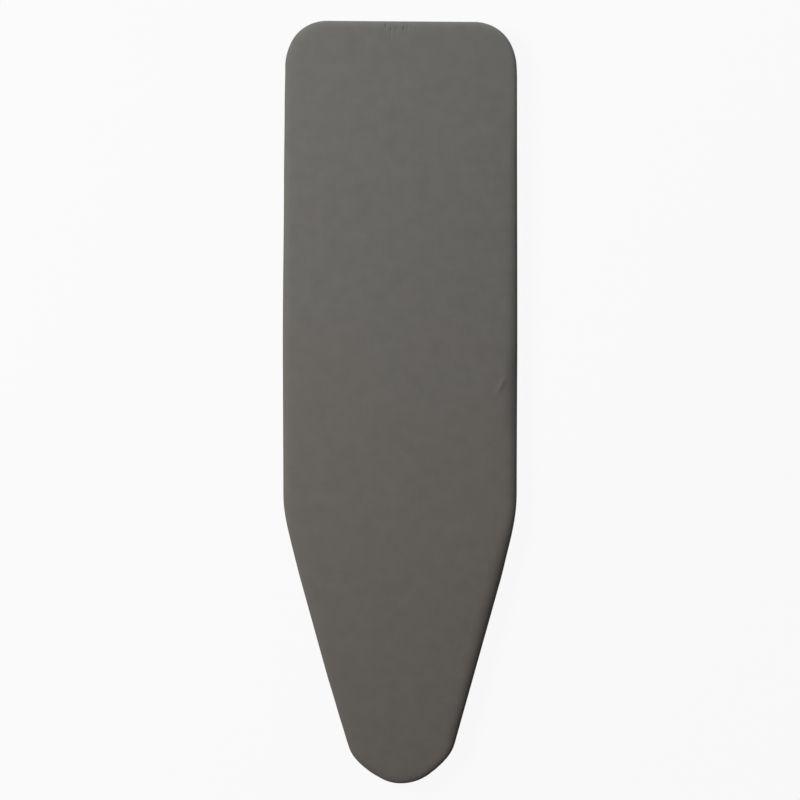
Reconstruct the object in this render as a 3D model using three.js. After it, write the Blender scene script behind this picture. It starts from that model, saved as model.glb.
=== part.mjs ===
import * as THREE from "three";

// A padded cover for an ironing board, face up and drawn tight as it sits on the board.
// Millimetres. +Z is up, +Y points to the square tail and -Y to the nose.
// The origin is below the middle of the cover, on the surface that the hem lies on.

// Plan, seen from above
const coverLength = 1240;
const coverWidth = 380;
const tailCornerRadius = 70;
const shoulderFromTail = 812;
const shoulderRadius = 350;
const noseWidth = 160;
const noseDepth = 34;
const noseCornerRadius = 100;
const noseTipRadius = 70;

// Layers, from the face down to the board
const fabricThickness = 0.8;
const foamThickness = 5;
const feltThickness = 4;
const boardThickness = 22;
const layerGap = 0.3;

// Section through the edge
const topEdgeRadius = 12;
const lowerTurnRadius = 6;
const hemDepth = 40;
const leastTurn = 1.5;

// Binding, elastic and seam at the hem
const tapeThickness = 0.7;
const bindingOverlap = 11;
const elasticDiameter = 4;
const joinerLength = 14;
const joinerWall = 0.4;
const threadThickness = 0.5;
const seamFromTapeEdge = 3;

// Facets
const tailCornerSteps = 8;
const shoulderSteps = 3;
const noseCornerSteps = 5;
const noseTipSteps = 3;
const topEdgeSteps = 6;
const lowerTurnSteps = 4;
const joinerSides = 16;

// Heights, from the surface that the hem lies on
const elasticRadius = elasticDiameter / 2;
const channelInner = elasticRadius + layerGap;
const channelOuter = channelInner + tapeThickness;
const hemMiddle = channelOuter;
const hemBottom = hemMiddle - fabricThickness / 2;
const boardBottom = 2 * channelOuter + layerGap;
const feltBottom = boardBottom + boardThickness;
const foamDepth = fabricThickness + layerGap;
const feltDepth = foamDepth + foamThickness + layerGap;
const coverHeight = feltBottom + feltThickness + feltDepth;

// Distances in from the outer edge
const tapeEdgeInset = hemDepth - bindingOverlap;
const seamInset = tapeEdgeInset + seamFromTapeEdge;
const channelInset = hemDepth + layerGap + channelOuter;

// A straight edge of the plan, by the angle of its outward normal and its distance from the origin
const edgeThrough = (angle, x, y) => ({ angle, distance: x * Math.cos(angle) + y * Math.sin(angle) });

// The point that lies at the same depth inside two edges of the plan
function meet(a, b, depth) {
  const turn = Math.sin(b.angle - a.angle);
  const p = a.distance - depth;
  const q = b.distance - depth;
  return new THREE.Vector2(
    (p * Math.sin(b.angle) - q * Math.sin(a.angle)) / turn,
    (q * Math.cos(a.angle) - p * Math.cos(b.angle)) / turn,
  );
}

// The right half of the plan: tail, side, taper and nose flank, with a rounded corner after each
const noseTipY = -coverLength / 2;
const shoulder = new THREE.Vector2(coverWidth / 2, coverLength / 2 - shoulderFromTail);
const noseCorner = new THREE.Vector2(noseWidth / 2, noseTipY + noseDepth);
const tipCentre = new THREE.Vector2(0, noseTipY + noseTipRadius);
const taperAngle = -Math.atan((shoulder.x - noseCorner.x) / (shoulder.y - noseCorner.y));
const fromTip = noseCorner.clone().sub(tipCentre);
const flankAngle = Math.atan2(fromTip.y, fromTip.x) - Math.acos(noseTipRadius / fromTip.length());
const flankLength = Math.sqrt(fromTip.lengthSq() - noseTipRadius ** 2);
const cornerTurn = taperAngle - flankAngle;

const tailEdge = { angle: Math.PI / 2, distance: coverLength / 2 };
const sideEdge = { angle: 0, distance: coverWidth / 2 };
const taperEdge = edgeThrough(taperAngle, shoulder.x, shoulder.y);
const flankEdge = edgeThrough(flankAngle, noseCorner.x, noseCorner.y);
const otherFlankEdge = { angle: -Math.PI - flankAngle, distance: flankEdge.distance };

const roundings = [
  { from: tailEdge, to: sideEdge, radius: tailCornerRadius, steps: tailCornerSteps },
  { from: sideEdge, to: taperEdge, radius: shoulderRadius, steps: shoulderSteps },
  {
    from: taperEdge,
    to: flankEdge,
    radius: Math.min(noseCornerRadius, flankLength / Math.tan(cornerTurn / 2)),
    steps: noseCornerSteps,
  },
  { from: flankEdge, to: otherFlankEdge, radius: noseTipRadius, steps: 2 * noseTipSteps },
];

// The plan drawn in by an inset, clockwise from the right end of the tail: points with outward normals
function planAt(inset) {
  const right = [];
  for (const { from, to, radius, steps } of roundings) {
    const bend = Math.max(radius - inset, leastTurn);
    const centre = meet(from, to, inset + bend);
    for (let step = 0; step <= steps; step++) {
      const angle = THREE.MathUtils.lerp(from.angle, to.angle, step / steps);
      const normal = new THREE.Vector2(Math.cos(angle), Math.sin(angle));
      right.push({ point: centre.clone().addScaledVector(normal, bend), normal });
    }
  }
  right.length -= noseTipSteps;
  const flip = (v) => new THREE.Vector2(-v.x, v.y);
  const left = right.slice(0, -1).map(({ point, normal }) => ({ point: flip(point), normal: flip(normal) }));
  return [...right, ...left.reverse()];
}

const ring = ([inset, z]) => planAt(inset).map(({ point }) => new THREE.Vector3(point.x, point.y, z));

// A closed surface through loops of points: capped at its two ends, or joined end to end
function loft(loops, joined = false) {
  const count = loops[0].length;
  const indices = [];
  const spans = joined ? loops.length : loops.length - 1;
  for (let loop = 0; loop < spans; loop++) {
    const here = loop * count;
    const there = ((loop + 1) % loops.length) * count;
    for (let i = 0; i < count; i++) {
      const next = (i + 1) % count;
      indices.push(here + i, here + next, there + i, here + next, there + next, there + i);
    }
  }
  if (!joined) {
    const last = (loops.length - 1) * count;
    for (let i = 0, j = count - 1; i < j; i++, j--) {
      indices.push(i, j, i + 1, last + i, last + i + 1, last + j);
      if (i + 1 < j - 1) indices.push(i + 1, j, j - 1, last + i + 1, last + j - 1, last + j);
    }
  }
  return new THREE.BufferGeometry().setFromPoints(loops.flat()).setIndex(indices);
}

// Section of the rounded top edge, at a depth below the face, down to a height
function topEdge(depth, endZ) {
  const radius = Math.max(topEdgeRadius - depth, leastTurn);
  const centreInset = depth + radius;
  const centreZ = coverHeight - depth - radius;
  const endAngle = Math.asin(THREE.MathUtils.clamp((endZ - centreZ) / radius, 0, 1));
  const section = [];
  for (let step = 0; step <= topEdgeSteps; step++) {
    const angle = THREE.MathUtils.lerp(Math.PI / 2, endAngle, step / topEdgeSteps);
    section.push([centreInset - radius * Math.cos(angle), centreZ + radius * Math.sin(angle)]);
  }
  if (endZ < centreZ) section.push([depth, endZ]);
  return section;
}

// Section of the lower turn, at a depth below the face, from the skirt to the hem
function lowerTurn(depth) {
  const radius = Math.max(lowerTurnRadius - depth, leastTurn);
  const section = [];
  for (let step = 0; step <= lowerTurnSteps; step++) {
    const angle = (-Math.PI / 2) * (step / lowerTurnSteps);
    const inset = depth + radius - radius * Math.cos(angle);
    const z = hemBottom + depth + radius + radius * Math.sin(angle);
    section.push([inset, z]);
  }
  return section;
}

// An eight-sided section about the hem's channel, whose flats lie at a distance from its centre
function octagon(flat) {
  const corner = flat * Math.tan(Math.PI / 8);
  return [
    [-corner, flat],
    [corner, flat],
    [flat, corner],
    [flat, -corner],
    [corner, -flat],
    [-corner, -flat],
    [-flat, -corner],
    [-flat, corner],
  ];
}

const assembly = new THREE.Group();
assembly.name = "ironing_board_cover";

function addPiece(name, geometry, color, roughness, metalness = 0) {
  geometry.computeVertexNormals();
  const piece = new THREE.Mesh(geometry, new THREE.MeshStandardMaterial({ color, roughness, metalness }));
  piece.name = name;
  assembly.add(piece);
  return piece;
}

// Coated cotton: the face, the rounded edge, the skirt and the hem turned under the board, in one piece
function faceFabric() {
  const side = (depth) => [
    ...topEdge(depth, hemBottom + lowerTurnRadius).slice(0, -1),
    ...lowerTurn(depth),
    [hemDepth, hemBottom + depth],
  ];
  return loft([...side(0), ...side(fabricThickness).reverse()].map(ring));
}

// Foam under the fabric, wrapped over the rim of the felt
function foamPad() {
  const outside = topEdge(foamDepth, feltBottom);
  const inside = topEdge(foamDepth + foamThickness, feltBottom);
  return loft([...outside, ...inside.reverse()].map(ring));
}

// Felt sheet that lies on the board
function feltUnderlay() {
  return loft(topEdge(feltDepth, feltBottom).map(ring));
}

// Tape folded over the raw edge of the hem, with a channel at its fold
function hemBinding() {
  const legInner = fabricThickness / 2 + layerGap;
  const legOuter = legInner + tapeThickness;
  const reach = (flat, height) => Math.min(flat, Math.SQRT2 * flat - height);
  const outerLoop = octagon(channelOuter).slice(0, 6);
  const innerLoop = octagon(channelInner);
  const fold = [
    [-reach(channelOuter, legOuter), legOuter],
    ...outerLoop,
    [-reach(channelOuter, legOuter), -legOuter],
  ];
  const lining = [
    [-reach(channelInner, legInner), legInner],
    innerLoop[7],
    ...innerLoop.slice(0, 7),
    [-reach(channelInner, legInner), -legInner],
  ];
  const placed = (section) => section.map(([across, up]) => [channelInset + across, hemMiddle + up]);
  const section = [
    [tapeEdgeInset, hemMiddle + legOuter],
    ...placed(fold),
    [tapeEdgeInset, hemMiddle - legOuter],
    [tapeEdgeInset, hemMiddle - legInner],
    ...placed(lining).reverse(),
    [tapeEdgeInset, hemMiddle + legInner],
  ];
  return loft(section.map(ring).reverse(), true);
}

// Round elastic in the channel: its ends are squeezed and meet in the joiner at the middle of the tail
const squeezedRadius = elasticRadius - joinerWall - layerGap;
const tailCentre = new THREE.Vector2(0, coverLength / 2 - channelInset);

function hemElastic() {
  const sectionAt = ({ point, normal }, radius) =>
    octagon(radius).map(([across, up]) => {
      const place = point.clone().addScaledVector(normal, -across);
      return new THREE.Vector3(place.x, place.y, hemMiddle + up);
    });
  const onTail = (x) => ({ point: tailCentre.clone().setX(x), normal: new THREE.Vector2(0, 1) });
  const meetingX = layerGap / 2;
  const squeezedX = joinerLength / 2 + layerGap;
  const fullX = squeezedX + elasticDiameter;
  const loops = [
    sectionAt(onTail(meetingX), squeezedRadius),
    sectionAt(onTail(squeezedX), squeezedRadius),
    sectionAt(onTail(fullX), elasticRadius),
    ...planAt(channelInset).map((place) => sectionAt(place, elasticRadius)),
    sectionAt(onTail(-fullX), elasticRadius),
    sectionAt(onTail(-squeezedX), squeezedRadius),
    sectionAt(onTail(-meetingX), squeezedRadius),
  ];
  return loft(loops);
}

// Sleeve pressed over the two ends of the elastic
function elasticJoiner() {
  const inner = squeezedRadius + layerGap;
  const outer = inner + joinerWall;
  const half = joinerLength / 2;
  const section = [
    new THREE.Vector2(inner, -half),
    new THREE.Vector2(outer, -half),
    new THREE.Vector2(outer, half),
    new THREE.Vector2(inner, half),
    new THREE.Vector2(inner, -half),
  ];
  return new THREE.LatheGeometry(section, joinerSides);
}

// Seam thread along one side of the binding, between two heights
function seamThread(lowZ, highZ) {
  const half = threadThickness / 2;
  const section = [
    [seamInset - half, lowZ],
    [seamInset + half, lowZ],
    [seamInset + half, highZ],
    [seamInset - half, highZ],
  ];
  return loft(section.map(ring), true);
}

const seamStandoff = fabricThickness / 2 + tapeThickness + 2 * layerGap;
const needleTop = hemMiddle - seamStandoff;
const bobbinBottom = hemMiddle + seamStandoff;

addPiece("face_fabric", faceFabric(), 0x686662, 0.8);
addPiece("foam_pad", foamPad(), 0xd8d2c0, 0.95);
addPiece("felt_underlay", feltUnderlay(), 0xb4b1a9, 1);
addPiece("hem_binding", hemBinding(), 0x4b4946, 0.85);
addPiece("hem_elastic", hemElastic(), 0xe6e3dc, 0.8);
const joiner = addPiece("elastic_joiner", elasticJoiner(), 0xb9bab8, 0.35, 1);
joiner.position.set(tailCentre.x, tailCentre.y, hemMiddle);
joiner.rotation.z = Math.PI / 2;
addPiece("hem_needle_thread", seamThread(needleTop - threadThickness, needleTop), 0x57554f, 0.7);
addPiece("hem_bobbin_thread", seamThread(bobbinBottom, bobbinBottom + threadThickness), 0x57554f, 0.7);

export default assembly;
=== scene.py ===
import math
from functools import partial

import bmesh
import bpy
import numpy as np
from mathutils import Matrix, Vector


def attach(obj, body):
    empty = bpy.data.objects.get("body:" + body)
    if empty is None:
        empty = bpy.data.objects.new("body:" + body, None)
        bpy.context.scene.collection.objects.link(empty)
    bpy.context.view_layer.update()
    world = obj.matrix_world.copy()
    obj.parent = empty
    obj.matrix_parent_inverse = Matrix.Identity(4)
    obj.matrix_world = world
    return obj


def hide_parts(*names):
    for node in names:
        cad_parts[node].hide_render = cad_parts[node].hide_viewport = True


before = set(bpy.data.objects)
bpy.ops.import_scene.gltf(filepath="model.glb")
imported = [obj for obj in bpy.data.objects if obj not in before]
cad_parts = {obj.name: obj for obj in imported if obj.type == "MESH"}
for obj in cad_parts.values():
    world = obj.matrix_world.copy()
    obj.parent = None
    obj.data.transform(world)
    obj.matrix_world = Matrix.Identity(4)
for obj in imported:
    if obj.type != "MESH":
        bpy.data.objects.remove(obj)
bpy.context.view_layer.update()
scene = bpy.context.scene
mm = 0.001
print("frame loaded:", len(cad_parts), "nodes")


# small tools

def linearColour(hexCode):
    parts = [int(hexCode[i:i + 2], 16) / 255 for i in (1, 3, 5)]
    return [p / 12.92 if p <= 0.04045 else ((p + 0.055) / 1.055) ** 2.4 for p in parts] + [1]


mainOutput = {"MIX": 2, "TEX_WAVE": "Fac"}   # the output that a node passes on, where it isn't the first


def setInputs(node, inputs):  # each takes a value, a hex colour, an output or a node's main output
    for socket, value in inputs.items():
        if isinstance(value, bpy.types.Node):
            value = value.outputs[mainOutput.get(value.type, 0)]
        if isinstance(value, bpy.types.NodeSocket):
            node.id_data.links.new(value, node.inputs[socket])
        else:
            node.inputs[socket].default_value = linearColour(value) if isinstance(value, str) else value


def addNode(tree, kind, inputs=None, **settings):
    node = tree.nodes.new("ShaderNode" + kind)
    for name, value in settings.items():
        setattr(node, name, value)
    setInputs(node, inputs or {})
    return node


def newMaterial(name, **sockets):
    material = bpy.data.materials.new(name)
    material.use_nodes = True
    shader = material.node_tree.nodes["Principled BSDF"]
    setInputs(shader, {socket.replace("_", " "): value for socket, value in sockets.items()})
    return material, shader, partial(addNode, material.node_tree)


def dressShader(shader, look, share, height):  # the look's two tones by a share, its relief by a height
    add = partial(addNode, shader.id_data)
    colour = add("Mix", {0: share, 6: look["deep"], 7: look["pale"]}, data_type="RGBA")
    strength, distance = look["bump"]
    bump = add("Bump", {"Height": height, "Strength": strength, "Distance": distance * mm})
    setInputs(shader, {"Base Color": colour, "Normal": bump})


def waveScale(repeat):  # of a wave texture whose bands repeat every so many mm
    return 2 * math.pi / (20 * repeat * mm)


def smoothStep(low, high, x):
    t = np.clip((x - low) / (high - low), 0, 1)
    return t * t * (3 - 2 * t)


def wander(along, cell, seed):  # repeatable drift between -1 and 1 that closes on itself round the edge
    count = max(3, round(perimeter / cell))
    knots = np.random.default_rng(seed).uniform(-1, 1, count)
    place = np.mod(along / perimeter, 1) * count
    first = np.floor(place).astype(int)
    t = smoothStep(0, 1, place - first)
    return knots[first % count] * (1 - t) + knots[(first + 1) % count] * t


def lumps(xy, cell, seed):  # repeatable soft bumps between -1 and 1
    count = 64
    table = np.random.default_rng(seed).uniform(-1, 1, (count, count))
    place = xy / cell
    first = np.floor(place).astype(int)
    t = smoothStep(0, 1, place - first)
    near, far = first % count, (first + 1) % count
    low = table[near[:, 0], near[:, 1]] * (1 - t[:, 0]) + table[far[:, 0], near[:, 1]] * t[:, 0]
    high = table[near[:, 0], far[:, 1]] * (1 - t[:, 0]) + table[far[:, 0], far[:, 1]] * t[:, 0]
    return low * (1 - t[:, 1]) + high * t[:, 1]


# plan of the cover seen from above, in mm, as the CAD draws it

plan = {
    "length": 1240, "width": 380, "tailCorner": 70,
    "shoulderFromTail": 812, "shoulderBend": 350,
    "noseWidth": 160, "noseDepth": 34, "noseCorner": 100, "noseTip": 70,
    "measureSteps": (0.5, 4), "weld": 0.001,
}
tailY = plan["length"] / 2


def planBends():  # centre, radius, first and last angle of the right half's round corners, tail to nose tip
    shoulder = Vector((plan["width"] / 2, tailY - plan["shoulderFromTail"]))
    corner = Vector((plan["noseWidth"] / 2, plan["noseDepth"] - tailY))
    tipCentre = Vector((0, plan["noseTip"] - tailY))
    fromTip = corner - tipCentre
    taper = -math.atan2(shoulder.x - corner.x, shoulder.y - corner.y)
    flank = math.atan2(fromTip.y, fromTip.x) - math.acos(plan["noseTip"] / fromTip.length)
    flankRun = math.sqrt(fromTip.length ** 2 - plan["noseTip"] ** 2)
    noseCorner = min(plan["noseCorner"], flankRun / math.tan((taper - flank) / 2))
    edges = [(math.pi / 2, Vector((0, tailY))), (0, shoulder), (taper, shoulder), (flank, corner)]
    bends = []
    radii = (plan["tailCorner"], plan["shoulderBend"], noseCorner)
    for (a, onA), (b, onB), radius in zip(edges, edges[1:], radii):
        p = onA.x * math.cos(a) + onA.y * math.sin(a) - radius
        q = onB.x * math.cos(b) + onB.y * math.sin(b) - radius
        turn = math.sin(b - a)
        centre = ((p * math.sin(b) - q * math.sin(a)) / turn, (q * math.cos(a) - p * math.cos(b)) / turn, 0)
        bends.append((Vector(centre), radius, a, b))
    return bends + [(tipCentre.to_3d(), plan["noseTip"], flank, -math.pi / 2)]


def walkRing(bm):  # the ring's vertices in order, clockwise from the middle of the tail
    first = max(bm.verts, key=lambda v: v.co.y - abs(v.co.x))
    edge = next(e for e in first.link_edges if e.other_vert(first).co.x > 0)
    order = [first]
    while edge.other_vert(order[-1]) is not first:
        order.append(edge.other_vert(order[-1]))
        edge = next(e for e in order[-1].link_edges if e is not edge)
    return order


def drawPlan(cornerStep, straightStep):  # a closed ring of edges, each vertex with its outward direction
    bm = bmesh.new()
    outward = bm.verts.layers.float_vector.new("outward")
    pen = bm.verts.new((0, tailY, 0))
    pen[outward] = (0, 1, 0)
    for centre, radius, first, last in planBends():
        pen = bmesh.ops.extrude_vert_indiv(bm, verts=[pen])["verts"][0]
        pen[outward] = (math.cos(first), math.sin(first), 0)
        pen.co = centre + pen[outward] * radius
        step = cornerStep if radius < plan["width"] / 2 else straightStep
        known = set(bm.verts)
        spun = bmesh.ops.spin(bm, geom=[pen], cent=centre, axis=(0, 0, 1), angle=last - first,
                              steps=max(2, round(radius * (first - last) / step)))
        for v in set(bm.verts) - known:
            v[outward] = (v.co - centre).normalized()
        pen = next(item for item in spun["geom_last"] if isinstance(item, bmesh.types.BMVert))
    bmesh.ops.mirror(bm, geom=list(bm.verts) + list(bm.edges), matrix=Matrix.Identity(4),
                     merge_dist=plan["weld"], axis="X")
    bmesh.ops.remove_doubles(bm, verts=list(bm.verts), dist=plan["weld"])
    for v in bm.verts:
        v[outward].x = math.copysign(v[outward].x, v.co.x)
    for edge in [e for e in bm.edges if e.calc_length() > 1.5 * straightStep]:
        bmesh.ops.subdivide_edges(bm, edges=[edge], cuts=round(edge.calc_length() / straightStep) - 1)
    rim = bm.verts.layers.float_vector.new("rim")
    along = bm.verts.layers.float.new("along")
    bm.verts.layers.float.new("down")
    order = walkRing(bm)
    run = 0
    for here, there in zip(order, order[1:] + order[:1]):
        here[rim] = here.co
        here[along] = run
        run += (there.co - here.co).length
    for v in order:
        v[along] *= perimeter / run
    return bm


perimeter = 1
measured = drawPlan(*plan["measureSteps"])
perimeter = sum(e.calc_length() for e in measured.edges)
measured.free()
fine = drawPlan(*plan["measureSteps"])
finePath = walkRing(fine)
pathAlong = np.array([v[fine.verts.layers.float["along"]] for v in finePath] + [perimeter])
pathRim = np.array([v.co[:2] for v in finePath + finePath[:1]])
pathOut = np.array([v[fine.verts.layers.float_vector["outward"]][:2] for v in finePath + finePath[:1]])
fine.free()


def onPlan(along, inset):  # x and y of points so far along the edge and so far in from it
    s = np.mod(along, perimeter)
    rim, out = (np.stack([np.interp(s, pathAlong, c) for c in path.T], -1) for path in (pathRim, pathOut))
    out /= np.linalg.norm(out, axis=-1, keepdims=True)
    return rim - out * np.asarray(inset)[..., None]


def runAt(inset):  # the length of a line that keeps this far in from the edge, up to each point of the path
    steps = np.diff(onPlan(pathAlong, inset), axis=0)
    return np.concatenate([[0], np.cumsum(np.linalg.norm(steps, axis=1))])


def insetOf(xy):  # how far points lie in from the edge
    coarse = pathRim[::3]
    parts = np.array_split(xy, 24)
    return np.concatenate([np.sqrt(((p[:, None] - coarse[None]) ** 2).sum(-1).min(1)) for p in parts])


print("plan drawn, edge", round(perimeter), "mm round")


# section through the edge, in mm above the surface that the hem lies on, as the CAD has it

layers = {
    "top": 38.7, "edgeRadius": 12, "edgePoints": 7, "fabric": 0.8, "foam": 5, "gap": 0.3, "feltBottom": 28.3,
    "hemBottom": 2.6, "turnRadius": 6, "hemDepth": 40, "hemMiddle": 3, "lap": 11,
}
top, turnRadius, hemDepth, hemMiddle = (layers[key] for key in ("top", "turnRadius", "hemDepth", "hemMiddle"))

# the padding gives way towards the edge, so the face rolls over: mm inwards, mm down and how square each way.
# Where it is firm the roll is tight, and where it has been pressed soft it is broad.

crown = {
    "firm": (28, 8.5, 5.5, 2.2), "soft": (32, 12, 2.8, 1.18),
    "tilts": (0.3, 1.2, 3, 6, 10, 15, 21, 28, 34, 40, 48, 60, 76),   # degrees, one for each ring
    "faceRing": 38, "samples": 4000, "crowding": 0.25,
    "softLeft": [(600, 0.1), (250, 0.1), (170, 0.3), (60, 0.1), (-600, 0)],   # places along Y, share of soft
    "softRight": [(470, 0), (390, 0.3), (100, 0.5), (28, 1), (-120, 0.5), (-190, 0.4), (-300, 0.8),
                  (-500, 0.45), (-545, 0.4), (-580, 0)],
}


def easeBetween(y, knots):
    places, values = (np.array(column) for column in zip(*sorted(knots)))
    i = np.clip(np.searchsorted(places, y) - 1, 0, len(places) - 2)
    t = smoothStep(0, 1, (y - places[i]) / (places[i + 1] - places[i]))
    return values[i] * (1 - t) + values[i + 1] * t


def edgeSoftness(x, y):
    right = smoothStep(-plan["noseTip"], plan["noseTip"], x)
    return easeBetween(y, crown["softRight"]) * right + easeBetween(y, crown["softLeft"]) * (1 - right)


def rolledEdge(depth, kind):  # from the face to the widest point, at a depth below the cloth's surface
    reach, drop, across, along = crown[kind]
    inset = reach * (1 - np.linspace(0, 1, crown["samples"]) ** crown["crowding"])
    full = 1 - ((reach - inset) / reach) ** across
    z = top - drop * (1 - full ** (1 / along))
    tilt = np.arctan2(-np.gradient(z), -np.gradient(inset))
    tilt[-1] = math.pi / 2
    picked = [np.searchsorted(tilt, math.radians(t)) for t in crown["tilts"]] + [len(inset) - 1]
    points = [(inset[i] + depth * math.sin(tilt[i]), z[i] - depth * math.cos(tilt[i])) for i in picked]
    return [(crown["faceRing"], top - depth)] + points


def cutAt(points, height):  # the part of a section above a height
    kept = [p for p in points if p[1] > height]
    below = points[len(kept)]
    share = (kept[-1][1] - height) / (kept[-1][1] - below[1])
    return kept + [(kept[-1][0] + share * (below[0] - kept[-1][0]), height)]


def insetEdge(depth):  # a plain round edge at a depth below the face, down to the underside of the felt
    radius = layers["edgeRadius"] - depth
    centre = top - layers["edgeRadius"]
    last = math.asin((layers["feltBottom"] - centre) / radius)
    angles = np.linspace(math.pi / 2, last, layers["edgePoints"])
    points = [(layers["edgeRadius"] - radius * math.cos(a), centre + radius * math.sin(a)) for a in angles]
    return [(crown["faceRing"], top - depth)] + points


# slack that the cover keeps when it is drawn tight: sizes in mm, ranges in mm down from the widest point

slack = {
    "straightFold": 27, "cornerFold": 10.5,   # spacing of the gathers at the rim
    "straightShare": 0.38, "bendPower": 0.7,   # how full the gathers are where the rim bends little
    "blend": 22, "step": 0.5, "seed": 11,
    "spacing": (0.22, 45), "strength": (0.22, 17),   # by how much they vary, and over what length
    "broad": 0.5, "broadRange": (2, 18), "broadLag": 1.3,
    "skirt": 0.5, "skirtRange": (7, 20), "hem": 1.0, "hemRange": (19, 36),
    "broadEnd": (-4, 6), "tapeHolds": [(0.66, -10, 0), (0.9, 8, 13)],   # ranges from the edge of the tape
    "drawIn": 0.9, "drawRange": (2, 20), "drawEnd": (24, 34),   # how far the hem pulls the skirt in
}
skirtDrop = top - crown["firm"][1] - layers["hemBottom"] - turnRadius

# way down from the widest point to the flat hem, and to the edge of the tape

hemStart = skirtDrop + turnRadius * math.pi / 2
tapeDown = hemStart + hemDepth - layers["lap"] - turnRadius


def gatherTable():
    s = np.arange(0, perimeter, slack["step"])
    across, ahead = (np.interp(s, pathAlong, pathOut[:, i]) for i in (0, 1))
    bend = np.abs(np.gradient(np.unwrap(np.arctan2(across, ahead)), s)) * plan["tailCorner"]
    share = slack["straightShare"] + (1 - slack["straightShare"]) * np.clip(bend, 0, 1) ** slack["bendPower"]
    reach = np.exp(-0.5 * ((s - perimeter / 2) / slack["blend"]) ** 2)
    share = np.real(np.fft.ifft(np.fft.fft(share) * np.fft.fft(np.fft.ifftshift(reach / reach.sum()))))
    level = (share - slack["straightShare"]) / (1 - slack["straightShare"])
    fold = slack["straightFold"] + (slack["cornerFold"] - slack["straightFold"]) * np.clip(level, 0, 1)
    most, cell = slack["spacing"]
    fold *= 1 + most * wander(s, cell, slack["seed"])
    phase = np.cumsum(2 * math.pi * slack["step"] / fold)
    phase *= 4 * math.pi * round(phase[-1] / (4 * math.pi)) / phase[-1]
    most, cell = slack["strength"]
    return s, phase, share * (1 - most + most * wander(s, cell, slack["seed"] + 1))


gatherAlong, gatherPhase, gatherShare = gatherTable()


def gather(along, down):  # how far the cloth stands out from its section, so far along the edge and down
    s = np.mod(along, perimeter)
    phase = np.interp(s, gatherAlong, gatherPhase)
    share = np.interp(s, gatherAlong, gatherShare)
    first, last = slack["broadEnd"]
    broad = slack["broad"] * smoothStep(*slack["broadRange"], down)
    broad = broad * (1 - smoothStep(tapeDown + first, tapeDown + last, down))
    close = slack["skirt"] * smoothStep(*slack["skirtRange"], down)
    close = close + slack["hem"] * smoothStep(*slack["hemRange"], down)
    for part, first, last in slack["tapeHolds"]:
        close = close * (1 - part * smoothStep(tapeDown + first, tapeDown + last, down))
    return share * (broad * np.sin(phase / 2 + slack["broadLag"]) + close * np.sin(phase))


def hemDown(inset):
    return hemStart + inset - turnRadius


# the face isn't dead flat: broad shallow waves in the padding, and a few small marks where the cloth is
# pinched. Sizes in mm, places as X and Y.

face = {
    "waves": [(0.16, 310, 900, 0.6), (0.12, 520, 150, 2.1), (0.07, 95, 260, 4.0), (0.05, 70, -120, 1.0)],
    "fade": (14, 60),
    "puckers": [(-24.5, 9, 2.4), (-16, 15, 1.9), (-7, 14, 1.1), (5.5, 13, 1.9), (12, 11, 1.1)],
    "puckerSize": (1.3, 3.6),   # width and length; the puckers above by x, inset and depth
    "creaseAt": (163.6, 28.3), "creaseTurn": 64.8, "creaseSize": (15, 4), "creaseHeight": 1.1,
    "dents": [(97, -35, 10, 0.25), (87, -533, 5, 0.5)],   # x, y, reach, depth
}


def faceShape(xy):
    rise = sum(height * np.sin(2 * math.pi * (xy[:, 1] / ly + xy[:, 0] / lx) + phase)
               for height, ly, lx, phase in face["waves"])
    rise = rise * smoothStep(*face["fade"], insetOf(xy))
    turn = math.radians(face["creaseTurn"])
    off = xy - face["creaseAt"]
    lengthways = off @ (math.cos(turn), math.sin(turn)) / face["creaseSize"][0]
    sideways = off @ (-math.sin(turn), math.cos(turn)) / face["creaseSize"][1]
    rise += face["creaseHeight"] * np.exp(-lengthways ** 2 - sideways ** 2)
    for x, y, reach, depth in face["dents"]:
        rise -= depth * np.exp(-((xy - (x, y)) ** 2).sum(1) / reach ** 2)
    return rise


def puckers(xy):  # short notches on the tail's rolled edge
    width, length = face["puckerSize"]
    inset = tailY - xy[:, 1]
    return sum(depth * np.exp(-((xy[:, 0] - x) / width) ** 2 - ((inset - middle) / length) ** 2)
               for x, middle, depth in face["puckers"])


# drawn on by hand the cover isn't quite even: how far each long edge stands out (mm) at a few places along Y,
# and how the tail leans

settle = {
    "left": [(620, -0.7), (572, -3), (545, -2.2), (480, -1.2), (360, -0.1), (110, 1.8), (-160, 0.9),
             (-225, -1.5), (-290, -0.2), (-440, 0), (-495, -1), (-550, -2.2), (-574, -0.4), (-600, -2.1)],
    "right": [(620, 0), (570, -2.1), (530, -0.4), (110, 0.2), (-160, -0.8), (-225, -1.9), (-290, 0),
              (-545, -0.4), (-568, 0.9), (-592, -0.6), (-600, -0.3), (-611, 4.2)],
    "edge": 60, "tailLean": 0.0075, "tailStart": 520,
}


def settleCloth(co):
    x, y = co[:, 0].copy(), co[:, 1].copy()
    co[:, 0] += easeBetween(y, settle["right"]) * np.clip(x / settle["edge"], 0, 1)
    co[:, 0] -= easeBetween(y, settle["left"]) * np.clip(-x / settle["edge"], 0, 1)
    co[:, 1] -= settle["tailLean"] * x * smoothStep(settle["tailStart"], tailY, y)
    return co


# tools that carry a section round the plan

farInside = -1000   # way down the section of points that lie inside its first or last ring
sortWay = Vector((math.sqrt(2), math.sqrt(3), -math.sqrt(5)))   # no two points lie equally far this way


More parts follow.
